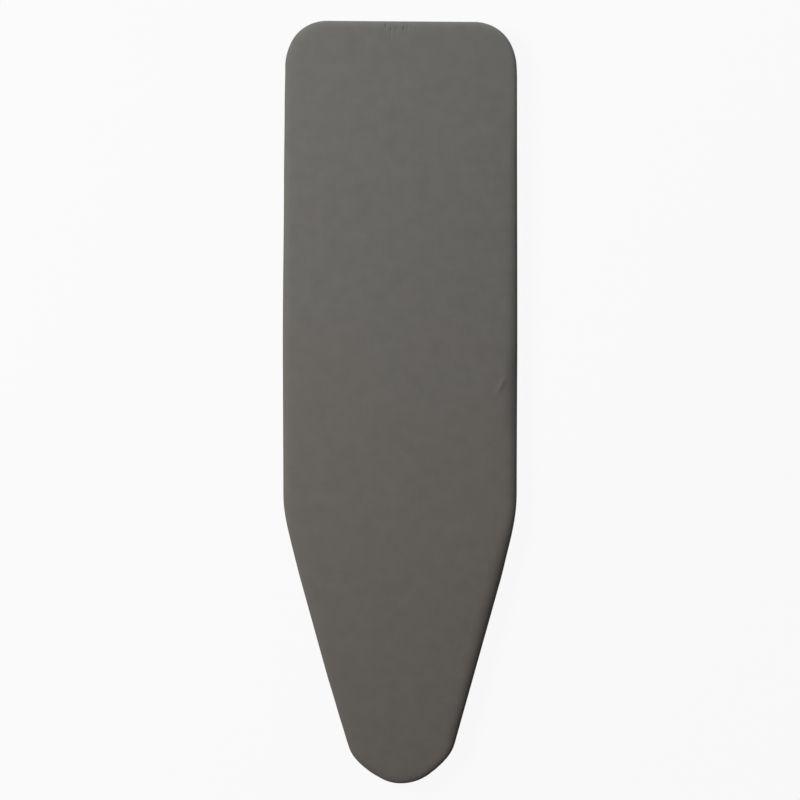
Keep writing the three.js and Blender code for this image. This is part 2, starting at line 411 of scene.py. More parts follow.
def growRing(bm, ring, firm, soft, down):  # extrude a ring of edges to the next point of the section
    grown = bmesh.ops.extrude_edge_only(bm, edges=ring)["geom"]
    rim = bm.verts.layers.float_vector["rim"]
    outward = bm.verts.layers.float_vector["outward"]
    way = bm.verts.layers.float["down"]
    for v in [item for item in grown if isinstance(item, bmesh.types.BMVert)]:
        inset, height = Vector(firm).lerp(Vector(soft), edgeSoftness(v[rim].x, v[rim].y))
        v.co = v[rim] - v[outward] * inset
        v.co.z = height
        v[way] = down
    return [item for item in grown if isinstance(item, bmesh.types.BMEdge)]


def fillRing(bm, ring):  # close a ring with a grid that has two of its corners in the tail's
    along = bm.verts.layers.float["along"]
    outward = bm.verts.layers.float_vector["outward"]
    order = sorted({v for e in ring for v in e.verts}, key=lambda v: v[along])
    count = len(order)
    corner = min(range(count // 4), key=lambda i: abs(order[i][outward].x - order[i][outward].y))
    sides = [i for middle in (0, count // 2) for i in range(middle - corner, middle + corner)]
    known = set(bm.verts)
    bmesh.ops.grid_fill(bm, edges=[bm.edges.get((order[i % count], order[(i + 1) % count])) for i in sides],
                        use_smooth=True)
    for v in set(bm.verts) - known:
        v[bm.verts.layers.float["down"]] = farInside


def sortElements(bm):  # rings grow in an order that changes from run to run, and the folds depend on it
    bm.verts.sort(key=lambda v: v.co.dot(sortWay))
    bm.verts.index_update()
    count = len(bm.verts)
    for elements in (bm.edges, bm.faces):
        elements.sort(key=lambda e: min(v.index for v in e.verts) * count + max(v.index for v in e.verts))
        elements.index_update()


def sectionRuns(section, start=0):  # distance along a section, counted from one of its points
    steps = [math.dist(a, b) for a, b in zip(section, section[1:])]
    runs = np.concatenate([[0], np.cumsum(steps)])
    return runs - runs[start]


def carrySection(section, start, steps, fillLast, softSection=None):  # the first ring is always filled
    runs = sectionRuns(section, start)
    bm = drawPlan(*steps)
    outward = bm.verts.layers.float_vector["outward"]
    for v in bm.verts:
        v.co -= v[outward] * section[0][0]
        v.co.z = section[0][1]
        v[bm.verts.layers.float["down"]] = runs[0]
    ring = list(bm.edges)
    fillRing(bm, ring)
    for firm, soft, down in zip(section[1:], (softSection or section)[1:], runs[1:]):
        ring = growRing(bm, ring, firm, soft, down)
    if fillLast:
        fillRing(bm, ring)
    sortElements(bm)
    return bm


def weldVerts(bm):
    bmesh.ops.remove_doubles(bm, verts=list(bm.verts), dist=0.01)


def capEnds(bm, sides):
    bmesh.ops.holes_fill(bm, edges=[e for e in bm.edges if e.is_boundary], sides=sides)


def newGrid(columns, rows):
    bm = bmesh.new()
    bm.loops.layers.uv.new("weave")
    bmesh.ops.create_grid(bm, x_segments=columns, y_segments=rows, size=1, calc_uvs=True)
    return bm


def rollStrip(columns, rows, place):  # columns go round the plan and rows round a section
    bm = newGrid(columns, rows)
    share = (np.array([v.co[:2] for v in bm.verts]) + 1) / 2
    for v, co in zip(bm.verts, place(share[:, 0], np.rint(share[:, 1] * rows).astype(int))):
        v.co = co
    weldVerts(bm)
    return bm


def readRows(items, key, width):
    values = np.empty(len(items) * width, np.float32)
    items.foreach_get(key, values)
    return values.reshape(-1, width).astype(float)


def readPoints(mesh):
    return readRows(mesh.vertices, "co", 3)


def readNumbers(mesh, name):
    return readRows(mesh.attributes[name].data, "value", 1)[:, 0]


def setUv(mesh, perVertex):  # flat coordinates in metres, so that a weave follows the cloth
    uv = mesh.uv_layers.new(name="weave")
    corners = np.empty(len(mesh.loops), np.int32)
    mesh.loops.foreach_get("vertex_index", corners)
    uv.data.foreach_set("uv", (perVertex[corners] * mm).astype(np.float32).ravel())


def stretchUv(mesh, length, width):  # from shares of a strip to metres
    corners = mesh.uv_layers["weave"].data
    sized = readRows(corners, "uv", 2) * (length * mm, width * mm)
    corners.foreach_set("uv", sized.astype(np.float32).ravel())


def meshOf(bm, name):
    bmesh.ops.recalc_face_normals(bm, faces=list(bm.faces))
    mesh = bpy.data.meshes.new(name)
    bm.to_mesh(mesh)
    bm.free()
    return mesh


def finishPiece(name, mesh, co, material, node):
    mesh.vertices.foreach_set("co", (settleCloth(co) * mm).astype(np.float32).ravel())
    for layer in ("rim", "outward", "along", "down"):
        if layer in mesh.attributes:
            mesh.attributes.remove(mesh.attributes[layer])
    mesh.shade_smooth()
    mesh.update()
    mesh.materials.append(material)
    piece = bpy.data.objects.new(name, mesh)
    scene.collection.objects.link(piece)
    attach(piece, "root")
    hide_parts(node)
    print(name, len(mesh.polygons), "faces")
    return piece


def thicken(piece, thickness, offset):
    wall = piece.modifiers.new("thickness", "SOLIDIFY")
    wall.thickness = thickness * mm
    wall.offset = offset
    return piece


# coated cotton: a plain weave under a matt heat coating, a dull warm grey with a faint mottle, a painted tint
# that warms towards the nose in place of the cool tail light fading, and threads that barely show

cottonLook = {
    "pale": "#73716c", "deep": "#5e5d58",   # light and dark of the mottle
    "plain": "#676764", "paintedWarmNose": "#68615e",   # its drift in hue: random, plus a painted tint from cool at the tail to warm at the nose
    "patch": 24, "drift": 120,   # mm
    "plainFrom": 380, "paintedWarmFrom": -320, "paintedLean": 0.4,   # mm along Y, and by how much the painted tint leans the drift
    "thread": 1.0, "relief": 2.4,   # mm: real threads are 0.4, too fine to show
    "slubWidth": 5, "slubLength": 60,
    "tone": (0.96, 1.04), "roughness": (0.76, 0.86),
}


def coatedCotton():
    look = cottonLook
    material, shader, add = newMaterial(
        "coated_cotton", Sheen_Weight=0.08, Sheen_Roughness=0.5, Specular_IOR_Level=0.2)
    flat = add("UVMap", uv_map="weave")
    patch = add("TexNoise", {"Vector": flat, "Scale": 1 / (look["patch"] * mm), "Detail": 2})
    drift = add("TexNoise", {"Vector": flat, "Scale": 1 / (look["drift"] * mm), "Detail": 1})
    lengthways = add("SeparateXYZ", {0: flat}).outputs["Y"]
    # painted tint: the hue leans cool at the tail and warm towards the nose, standing in for the cool tail
    # light fading along the cloth
    paintedTint = add("MapRange", {
        "Value": lengthways, "From Min": look["paintedWarmFrom"] * mm, "From Max": look["plainFrom"] * mm,
        "To Min": look["paintedLean"], "To Max": -look["paintedLean"]})
    share = add("Math", {0: drift, 1: paintedTint}, operation="ADD")
    grey = add("Mix", {0: patch, 6: look["deep"], 7: look["pale"]}, data_type="RGBA")
    hue = add("Mix", {0: share, 6: look["plain"], 7: look["paintedWarmNose"]}, data_type="RGBA")
    colour = add("Mix", {0: 0.5, 6: grey, 7: hue}, data_type="RGBA")
    yarns = []
    for direction in "XY":
        bands = add("TexWave", {
            "Vector": flat, "Scale": waveScale(look["thread"]), "Distortion": 0.6, "Detail": 1},
            bands_direction=direction)
        yarns.append(add("Math", {0: bands, 1: 0.5}, operation="SUBTRACT"))
    weave = add("Math", {0: yarns[0], 1: yarns[1]}, operation="MULTIPLY")
    slubs = []
    for turn in (0, math.pi / 2):
        stretch = add("Mapping", {
            "Vector": flat, "Rotation": (0, 0, turn),
            "Scale": (look["slubWidth"] * mm, look["slubLength"] * mm, 1)}, vector_type="TEXTURE")
        slubs.append(add("TexNoise", {"Vector": stretch, "Scale": 1, "Detail": 1}))
    threads = add("Math", {0: slubs[0], 1: slubs[1]}, operation="ADD")
    cloth = add("Math", {0: weave, 1: look["relief"], 2: threads}, operation="MULTIPLY_ADD")
    low, high = look["tone"]
    tone = add("MapRange", {"Value": cloth, "From Min": 0.5, "From Max": 1.5, "To Min": low, "To Max": high})
    shade = add("VectorMath", {0: colour, "Scale": tone}, operation="SCALE")
    bump = add("Bump", {"Height": cloth, "Strength": 0.4, "Distance": 0.15 * mm})
    low, high = look["roughness"]
    gloss = add("MapRange", {
        "Value": threads, "From Min": 0.6, "From Max": 1.4, "To Min": low, "To Max": high})
    setInputs(shader, {"Base Color": shade, "Normal": bump, "Roughness": gloss})
    return material


# the cover: face, rolled edge, skirt and hem in one cloth

cover = {
    "steps": (2.2, 5.7), "skirtSteps": 5, "turnSteps": 5, "hemSteps": 12,
    "puckerCuts": 8, "puckerRoom": 8, "creaseCuts": 2, "creaseRoom": 24,   # widths of a pucker, mm
    "flat": (0.52, 1.38), "area": 0.60,
}


def coverSection(kind):
    low = layers["hemBottom"] + turnRadius
    points = rolledEdge(0, kind)
    widest = len(points) - 1
    points += [(0, z) for z in np.linspace(points[-1][1], low, cover["skirtSteps"] + 1)[1:]]
    for a in np.linspace(0, math.pi / 2, cover["turnSteps"] + 1)[1:]:
        points.append((turnRadius * (1 - math.cos(a)), low - turnRadius * math.sin(a)))
    points += [(inset, layers["hemBottom"]) for inset in
               np.linspace(turnRadius, hemDepth, cover["hemSteps"] + 1)[1:]]
    return points, widest


def refineMarks(bm):  # more points where the small marks of the face lie
    band = tailY - crown["faceRing"] - 0.1
    reach = max(abs(x) for x, inset, depth in face["puckers"]) + cover["puckerRoom"] * face["puckerSize"][0]
    upper = top - crown["firm"][1] + 1
    tail = [e for e in bm.edges if abs(e.verts[0].co.x - e.verts[1].co.x) > 1
            and all(v.co.y > band and abs(v.co.x) < reach and v.co.z > upper for v in e.verts)]
    whole = {"use_grid_fill": True, "use_single_edge": True, "quad_corner_type": "FAN"}   # no loose corners
    bmesh.ops.subdivide_edges(bm, edges=tail, cuts=cover["puckerCuts"], **whole)
    middle = Vector((*face["creaseAt"], top))
    near = [e for e in bm.edges if all((v.co - middle).length < cover["creaseRoom"] for v in e.verts)]
    bmesh.ops.subdivide_edges(bm, edges=near, cuts=cover["creaseCuts"], **whole)
    sortElements(bm)


# the skirt hangs straight down until the tape is drawn in below the board, and finds its own folds on the way

drape = {
    "heldTo": 2, "spare": 6,   # mm below the widest point, and mm of cloth kept past each held edge
    "frames": 24, "drawn": 16, "quality": 6, "scale": 0.01,   # units for a mm
    "guide": 0.5,   # how firmly the cloth is led round the board's edge
    "stiffness": 1, "ease": 2,
    "outward": (0.8, 1.6), "inward": 2.4,   # mm that a fold may stand out, on the skirt and below, and in
    "blend": 6, "fade": 6,   # mm over which the folds grow below the rim and die away at the tape
}


def drapeSkirt(mesh, smooth, normals, start, along, down):
    strip = bmesh.new()
    strip.from_mesh(mesh)
    number = strip.verts.layers.int.new("number")
    hanging = onPlan(along, slack["drawIn"] - gather(along, down))
    low = layers["hemBottom"] + turnRadius + skirtDrop - down
    hung = np.where((down > skirtDrop + 0.1)[:, None], np.column_stack([hanging, low]), start)
    for v, point in zip(strip.verts, hung * drape["scale"]):
        v.co = point
        v[number] = v.index
    first, last = drape["heldTo"] - drape["spare"], tapeDown + drape["spare"]
    spare = [v for v in strip.verts if not first < down[v.index] < last]
    bmesh.ops.delete(strip, geom=spare, context="VERTS")
    kept = np.array([v[number] for v in strip.verts])
    cloth = bpy.data.meshes.new("skirt")
    strip.to_mesh(cloth)
    strip.free()
    skirt = bpy.data.objects.new("skirt", cloth)
    scene.collection.objects.link(skirt)
    skirt.shape_key_add(name="hung")
    drawn = skirt.shape_key_add(name="drawn")
    drawn.data.foreach_set("co", (start[kept] * drape["scale"]).astype(np.float32).ravel())
    down = down[kept]
    free = (down > drape["heldTo"]) & (down < tapeDown)
    held = skirt.vertex_groups.new(name="held")
    held.add(np.nonzero(~free)[0].tolist(), 1, "REPLACE")
    held.add(np.nonzero(free)[0].tolist(), drape["guide"], "REPLACE")
    solver = skirt.modifiers.new("folds", "CLOTH")
    solver.settings.vertex_group_mass = "held"
    solver.settings.effector_weights.gravity = 0
    solver.settings.quality = drape["quality"]
    solver.settings.bending_stiffness = drape["stiffness"]
    ease = skirt.modifiers.new("ease", "SMOOTH")
    ease.iterations = drape["ease"]
    for value, step in ((0, 1), (1, drape["drawn"])):
        drawn.value = value
        drawn.keyframe_insert("value", frame=step)
    for step in range(drape["frames"]):
        scene.frame_set(step + 1)
    draped = skirt.evaluated_get(bpy.context.evaluated_depsgraph_get())
    shift = readPoints(draped.data) / drape["scale"] - smooth[kept]
    stand = (shift * normals[kept]).sum(1)
    outMost = np.interp(down, (skirtDrop, hemStart), drape["outward"])
    most = np.where(stand > 0, outMost, drape["inward"])
    limited = most * np.tanh(stand / most)
    final = smooth[kept] + shift + normals[kept] * (limited - stand)[:, None]
    keep = smoothStep(drape["heldTo"], drape["heldTo"] + drape["blend"], down)
    keep = keep * (1 - smoothStep(tapeDown - drape["fade"], tapeDown, down))
    print("skirt draped, folds", stand[free].min().round(2), "to", stand[free].max().round(2), "mm")
    start[kept] += (final - start[kept]) * (keep * free)[:, None]
    bpy.data.actions.remove(cloth.shape_keys.animation_data.action)
    bpy.data.objects.remove(skirt)
    bpy.data.meshes.remove(cloth)
    scene.frame_set(1)
    return start


def makeCover(material):
    section, widest = coverSection("firm")
    softSection, widest = coverSection("soft")
    first = sectionRuns(section, widest)[0]
    bm = carrySection(section, widest, cover["steps"], False, softSection)
    refineMarks(bm)
    mesh = meshOf(bm, "cover_fabric")
    if max(mesh.polygons, key=lambda p: p.center.z).normal.z < 0:
        mesh.flip_normals()
    co = readPoints(mesh)
    rim, out = (readRows(mesh.attributes[name].data, "vector", 3) for name in ("rim", "outward"))
    down = readNumbers(mesh, "down")
    along = readNumbers(mesh, "along")
    edge = down > first - 0.01
    flatInset = np.where(edge, first - down + section[0][0], 0)[:, None]
    flat = np.where(edge[:, None], (rim - out * flatInset)[:, :2], co[:, :2])
    normals = readRows(mesh.vertex_normals, "vector", 3)
    stand = np.where(edge, gather(along, down), 0) - puckers(co[:, :2]) * (down < 0)
    rise = faceShape(co[:, :2]) * (down < 0)
    pulled = slack["drawIn"] * smoothStep(*slack["drawRange"], down)
    co -= out * (pulled * (1 - smoothStep(*slack["drawEnd"], down)))[:, None]
    co[:, 2] += rise
    co = drapeSkirt(mesh, co, normals, co + normals * stand[:, None], along, down)
    setUv(mesh, flat)
    piece = finishPiece("cover_fabric", mesh, co, material, "face_fabric")
    return thicken(piece, layers["fabric"], -1)


coverPiece = makeCover(coatedCotton())


# polyurethane foam: cut open cells, cream and quite matt, with painted shade making it a little darker in the
# pores

foamLook = {
    "pale": "#ddd7c6", "deep": "#c3bca8", "bump": (0.6, 0.4),
    "cell": 2.4, "cloud": 40,   # mm: real cells are 0.6, too fine to show
}


def foamRubber():
    look = foamLook
    material, shader, add = newMaterial("polyurethane_foam", Roughness=0.95, Specular_IOR_Level=0.15)
    place = add("TexCoord").outputs["Object"]
    cells = add("TexVoronoi", {"Vector": place, "Scale": 1 / (look["cell"] * mm)})
    cloud = add("TexNoise", {"Vector": place, "Scale": 1 / (look["cloud"] * mm), "Detail": 2})
    # painted shade: the colour darkens towards the middle of each cell, where the pore's hollow lies
    paintedPoreShade = add("MapRange", {"Value": cells, "From Min": 0.05, "From Max": 0.6, "To Max": 0.75})
    shade = add("Math", {0: cloud, 1: 0.25, 2: paintedPoreShade}, operation="MULTIPLY_ADD")
    dressShader(shader, look, shade, cells)
    return material


# the foam under the cloth: its rim comes down over the felt

foam = {
    "steps": (5, 10), "fill": 0.85,
    "give": 2.2, "giveReach": (40, 22),   # how far it yields below the tail's notches, mm
    "skin": 2,                            # mm below the top of the cover
}


def makeFoam(material):
    outer = cutAt(rolledEdge(layers["fabric"] + layers["gap"], "soft"), layers["feltBottom"])
    inner = insetEdge(layers["fabric"] + layers["gap"] + layers["foam"])
    mesh = meshOf(carrySection(outer + inner[::-1], len(outer) - 1, foam["steps"], True), "foam_layer")
    co = readPoints(mesh)
    down = readNumbers(mesh, "down")
    upper = (down < 0) & ((down > farInside + 1) | (co[:, 2] > top - foam["skin"]))
    sideways = co[:, 0] / foam["giveReach"][0]
    inwards = (tailY - co[:, 1]) / foam["giveReach"][1]
    lift = faceShape(co[:, :2]) - foam["give"] * np.exp(-sideways ** 4 - inwards ** 4)
    co[:, 2] += np.where(upper, lift, 0)
    return finishPiece("foam_layer", mesh, co, material, "foam_pad")


foamPiece = makeFoam(foamRubber())


# needled felt: short fibres punched flat, a soft grey with paler and darker flecks

feltLook = {
    "pale": "#c3c0b8", "deep": "#a4a199", "fleck": "#77746e",
    "fibreWidth": 0.55, "fibreLength": 9, "curl": 11, "bend": 9,   # mm: real fibres are 0.03, too fine
    "turns": (0.2, 0.85, 1.45, 2.05, 2.7), "cloud": 28, "fleckSize": 2.4,
}


def needledFelt():
    look = feltLook
    material, shader, add = newMaterial(
        "needled_felt", Roughness=1.0, Sheen_Weight=0.2, Sheen_Roughness=0.6, Specular_IOR_Level=0.1)
    place = add("TexCoord").outputs["Object"]
    cloud = add("TexNoise", {"Vector": place, "Scale": 1 / (look["cloud"] * mm), "Detail": 3})
    curl = add("TexNoise", {"Vector": place, "Scale": 1 / (look["curl"] * mm), "Detail": 1})
    sway = (look["bend"] * mm, look["bend"] * mm, 0)
    bent = add("VectorMath", {0: curl.outputs["Color"], 1: sway, 2: place}, operation="MULTIPLY_ADD")
    mat = 0.5
    for turn in look["turns"]:
        stretch = add("Mapping", {
            "Vector": bent, "Location": (turn * mm, 0, 0), "Rotation": (0, 0, turn),
            "Scale": (look["fibreWidth"] * mm, look["fibreLength"] * mm, 1)}, vector_type="TEXTURE")
        strand = add("TexNoise", {"Vector": stretch, "Scale": 1, "Detail": 1})
        mat = add("Math", {0: strand, 1: mat}, operation="MAXIMUM")
    depth = add("Math", {0: cloud, 1: 0.5, 2: mat}, operation="MULTIPLY_ADD")
    level = add("MapRange", {"Value": depth, "From Min": 0.74, "From Max": 1.06})
    colour = add("Mix", {0: level, 6: look["deep"], 7: look["pale"]}, data_type="RGBA")
    spots = add("TexNoise", {
        "Vector": place, "Scale": 1 / (look["fleckSize"] * mm), "Detail": 2, "Distortion": 1.5})
    flecks = add("MapRange", {"Value": spots, "From Min": 0.67, "From Max": 0.77, "To Max": 0.4})
    flecked = add("Mix", {0: flecks, 6: colour, 7: look["fleck"]}, data_type="RGBA")
    bump = add("Bump", {"Height": depth, "Strength": 0.5, "Distance": 0.35 * mm})
    setInputs(shader, {"Base Color": flecked, "Normal": bump})
    return material


# the felt that lies on the board

felt = {
    "steps": (6, 6), "corner": 0.7, "bevel": ((0, 1), (0.3, 0.3), (1, 0)),
    "lift": 0.06, "lumps": [(0.09, 11, 5), (0.05, 26, 6)],   # mm; height, size and seed
    "flat": (0.367, 1.227), "area": 0.3975,
}


def makeFelt(material):
    section = insetEdge(layers["fabric"] + layers["foam"] + 2 * layers["gap"])
    inset, bottom = section[-1]
    section[-1:] = [(inset + a * felt["corner"], bottom + b * felt["corner"]) for a, b in felt["bevel"]]
    section.append((crown["faceRing"], bottom))
    mesh = meshOf(carrySection(section, 0, felt["steps"], True), "felt_layer")
    co = readPoints(mesh)
    under = co[:, 2] < bottom + 0.01
    uneven = sum(height * lumps(co[:, :2], cell, seed) for height, cell, seed in felt["lumps"])
    co[:, 2] += np.where(under, felt["lift"] + uneven, 0)
    return finishPiece("felt_layer", mesh, co, material, "felt_underlay")


feltPiece = makeFelt(needledFelt())


# woven cotton tape: a close ribbed weave, darker than the cover and quite matt

tapeLook = {
    "pale": "#53514d", "deep": "#403e3b", "bump": (0.5, 0.15),
    "rib": 1.6, "yarn": 2.2, "cloud": 30,   # mm: real ribs are 0.6, too fine to show
}


def wovenTape():
    look = tapeLook
    material, shader, add = newMaterial(
        "woven_cotton_tape", Roughness=0.9, Sheen_Weight=0.1, Sheen_Roughness=0.5, Specular_IOR_Level=0.2)
    flat = add("UVMap", uv_map="weave")
    ribs, yarns = (add("TexWave", {"Vector": flat, "Scale": waveScale(look[part]), "Distortion": 0.4},
                       bands_direction=direction) for part, direction in (("rib", "X"), ("yarn", "Y")))
    cloud = add("TexNoise", {"Vector": flat, "Scale": 1 / (look["cloud"] * mm), "Detail": 2})
    weave = add("Math", {0: yarns, 1: 0.5, 2: ribs}, operation="MULTIPLY_ADD")
    level = add("Math", {0: weave, 1: 0.4, 2: cloud}, operation="MULTIPLY_ADD")
    dressShader(shader, look, level, weave)
    return material


# the binding: tape folded over the raw edge of the hem, drawn up in small puckers by the elastic in its fold

binding = {
    "channelInset": 43.3, "channelRadius": 2.65, "legGap": 1.05, "thickness": 0.7, "step": 2.0,
    "neck": [(39.6, 1.05), (40.9, 1.5)], "mouth": 125,   # how the legs open into the channel, and degrees
    "legPoints": 5, "foldPoints": 14,
    "pucker": 6.5, "channelPucker": 0.22, "legPucker": 0.1, "seed": 23,
    "stray": (1.6, 40), "uneven": (0.35, 13),   # of the puckers, and over what length
}


def bindingSection():
    start = hemDepth - layers["lap"]
    insets = np.linspace(start, binding["neck"][0][0], binding["legPoints"])[:-1]
    leg = [(inset, binding["legGap"]) for inset in insets] + binding["neck"]
    upper = [(inset, hemMiddle + rise) for inset, rise in leg]
    lower = [(inset, hemMiddle - rise) for inset, rise in leg]
    turns = np.radians(np.linspace(binding["mouth"], -binding["mouth"], binding["foldPoints"]))
    fold = [(binding["channelInset"] + binding["channelRadius"] * math.cos(a),
             hemMiddle + binding["channelRadius"] * math.sin(a)) for a in turns]
    return upper, fold, lower[::-1]


def makeBinding(material):
    upper, fold, lower = bindingSection()
    section = np.array(upper + fold + lower)
    onFold = np.array([0] * len(upper) + [1] * len(fold) + [0] * len(lower))
    runs = runAt(hemDepth)
    columns = round(runs[-1] / binding["step"])
    centre = np.array((binding["channelInset"], hemMiddle))

    def place(share, row):
        along = np.interp(share * runs[-1], runs, pathAlong)
        turns = round(runs[-1] / binding["pucker"])
        most, cell = binding["stray"]
        wave = np.sin(2 * math.pi * turns * share + most * wander(along, cell, binding["seed"]))
        most, cell = binding["uneven"]
        wave *= 1 - most + most * wander(along, cell, binding["seed"] + 1)
        here = section[row]
        outwards = (here - centre) / binding["channelRadius"]
        here = here + outwards * (onFold[row] * binding["channelPucker"] * wave)[:, None]
        height = here[:, 1] + (1 - onFold[row]) * binding["legPucker"] * wave
        height -= gather(along, hemDown(np.minimum(here[:, 0], hemDepth)))
        return np.column_stack([onPlan(along, here[:, 0]), height])

    mesh = meshOf(rollStrip(columns, len(section) - 1, place), "hem_tape")
    stretchUv(mesh, runs[-1], sectionRuns(section)[-1])
    piece = finishPiece("hem_tape", mesh, readPoints(mesh), material, "hem_binding")
    return thicken(piece, binding["thickness"], 0)


bindingPiece = makeBinding(wovenTape())


# braided elastic: white polyester braid over rubber strands, a criss-cross of soft ribs

elasticLook = {
    "pale": "#ebe8e1", "deep": "#cfcabf", "bump": (0.5, 0.15),
    "braid": 1.9, "lean": 0.7, "cloud": 20,   # mm: a real braid repeats every 1.2; radians
}


def braidedElastic():
    look = elasticLook
    material, shader, add = newMaterial(
        "braided_elastic", Roughness=0.7, Sheen_Weight=0.1, Sheen_Roughness=0.4, Specular_IOR_Level=0.3)
    flat = add("UVMap", uv_map="weave")
    crossing = []
    for turn in (look["lean"], -look["lean"]):
        lean = add("Mapping", {"Vector": flat, "Rotation": (0, 0, turn)})
        crossing.append(add("TexWave", {"Vector": lean, "Scale": waveScale(look["braid"])}))
    braid = add("Math", {0: crossing[0], 1: crossing[1]}, operation="MAXIMUM")
    cloud = add("TexNoise", {"Vector": flat, "Scale": 1 / (look["cloud"] * mm), "Detail": 2})
    ridge = add("Math", {0: braid, 1: 0.8}, operation="MULTIPLY")
    level = add("Math", {0: cloud, 1: 0.4, 2: ridge}, operation="MULTIPLY_ADD")
    dressShader(shader, look, level, braid)
    return material


# the elastic in the fold, its two ends squeezed in the sleeve at the middle of the tail

elastic = {
    "radius": 1.92, "squeezed": 1.25, "held": 7.3, "free": 11.3, "endGap": 0.15,
    "step": 1.2, "sides": 14, "relief": 0.07, "ribs": 4, "twist": 4.6,   # mm along for one turn of the ribs
}


def makeElastic(material):
    runs = runAt(binding["channelInset"])
    length = runs[-1] - 2 * elastic["endGap"]

    def place(share, row):
        run = elastic["endGap"] + share * length
        along = np.interp(run, runs, pathAlong)
        loose = smoothStep(elastic["held"], elastic["free"], np.minimum(run, runs[-1] - run))
        angle = 2 * math.pi * row / elastic["sides"]
        radius = elastic["squeezed"] + (elastic["radius"] - elastic["squeezed"]) * loose
        rib = np.cos(elastic["ribs"] * angle) * np.cos(2 * math.pi * run / elastic["twist"])
        radius = radius + elastic["relief"] * rib * loose
        height = hemMiddle + radius * np.sin(angle)
        height -= gather(along, hemDown(hemDepth))
        return np.column_stack([onPlan(along, binding["channelInset"] + radius * np.cos(angle)), height])

    bm = rollStrip(round(length / elastic["step"]), elastic["sides"], place)
    capEnds(bm, elastic["sides"])
    mesh = meshOf(bm, "elastic_cord")
    stretchUv(mesh, length, 2 * math.pi * elastic["radius"])
    return finishPiece("elastic_cord", mesh, readPoints(mesh), material, "hem_elastic")


makeElastic(braidedElastic())


# pressed aluminium: a bare grey sleeve with fine rolling lines and a soft shine

sleeveLook = {
    "pale": "#c6c7c5", "deep": "#a6a7a5", "bump": (0.2, 0.03), "roughness": (0.3, 0.45),
    "line": 0.5, "lineLength": 6,   # mm
}


def pressedAluminium():
    look = sleeveLook
    material, shader, add = newMaterial("pressed_aluminium", Metallic=1.0)
    place = add("TexCoord").outputs["Object"]
    across = 1 / (look["line"] * mm)
    stretch = add("Mapping", {"Vector": place, "Scale": (1 / (look["lineLength"] * mm), across, across)})
    lines = add("TexNoise", {"Vector": stretch, "Scale": 1, "Detail": 3})
    low, high = look["roughness"]
    setInputs(shader, {"Roughness": add("MapRange", {"Value": lines, "To Min": low, "To Max": high})})
    dressShader(shader, look, lines, lines)
    return material


# the sleeve: a strip rolled round the elastic's ends and pressed in two bands

sleeve = {
    "length": 14, "radius": 2.0, "wall": 0.4, "opening": 8,             # degrees left between its two edges
    "crimps": (-3.5, 3.5), "crimpWidth": 1.3, "crimpDepth": 0.22, "flare": 0.12, "flarePower": 12,
    "steps": 36, "sides": 44,
}


def makeSleeve(material):
    bm = bmesh.new()
    bmesh.ops.create_grid(bm, x_segments=sleeve["steps"], y_segments=sleeve["sides"], size=1)
    middle = tailY - binding["channelInset"]
    for v in bm.verts:
        x = v.co.x * sleeve["length"] / 2
        angle = math.radians(90 + v.co.y * (180 - sleeve["opening"] / 2))
        pressed = sum(math.exp(-((x - at) / sleeve["crimpWidth"]) ** 2) for at in sleeve["crimps"])
        flared = sleeve["flare"] * abs(v.co.x) ** sleeve["flarePower"]
        radius = sleeve["radius"] - sleeve["crimpDepth"] * pressed + flared
        v.co = (x, middle + radius * math.cos(angle), hemMiddle + radius * math.sin(angle))
    mesh = meshOf(bm, "elastic_sleeve")
    co = readPoints(mesh)
    outside = Vector((0, co[0][1] - middle, co[0][2] - hemMiddle))
    if mesh.vertex_normals[0].vector.dot(outside) < 0:
        mesh.flip_normals()
    piece = finishPiece("elastic_sleeve", mesh, co, material, "elastic_joiner")
    return thicken(piece, sleeve["wall"], -1)


makeSleeve(pressedAluminium())


# spun polyester thread: two plies twisted together, a dull sheen, and painted sheen and shade in pale and
# dark stripes along the twist

threadLook = {
    "pale": "#64625b", "deep": "#46443f", "bump": (0.6, 0.08),
    "twist": 0.9, "lean": 0.9,   # mm: a real twist is 0.4, too fine to show; radians
}


def spunThread():
    look = threadLook
    material, shader, add = newMaterial("spun_polyester_thread", Roughness=0.6, Sheen_Weight=0.15,
                                        Sheen_Roughness=0.4, Specular_IOR_Level=0.35)
    flat = add("UVMap", uv_map="weave")
    lean = add("Mapping", {"Vector": flat, "Rotation": (0, 0, look["lean"])})
    twist = add("TexWave", {"Vector": lean, "Scale": waveScale(look["twist"])})
    # painted sheen and shade: the colour runs pale and dark along the twist, besides its relief
    dressShader(shader, look, twist, twist)
    return material


# the binding seam: a row of stitches on each side of the hem, whose ends dip into the tape

stitch = {
    "pitch": 3.4, "length": 2.9, "radius": 0.25, "thinning": 0.35, "inset": 32, "rings": 5, "sides": 6,
    "dip": 0.45, "needleHeight": -1.62, "bobbinHeight": 1.62,     # from the middle of the hem
}


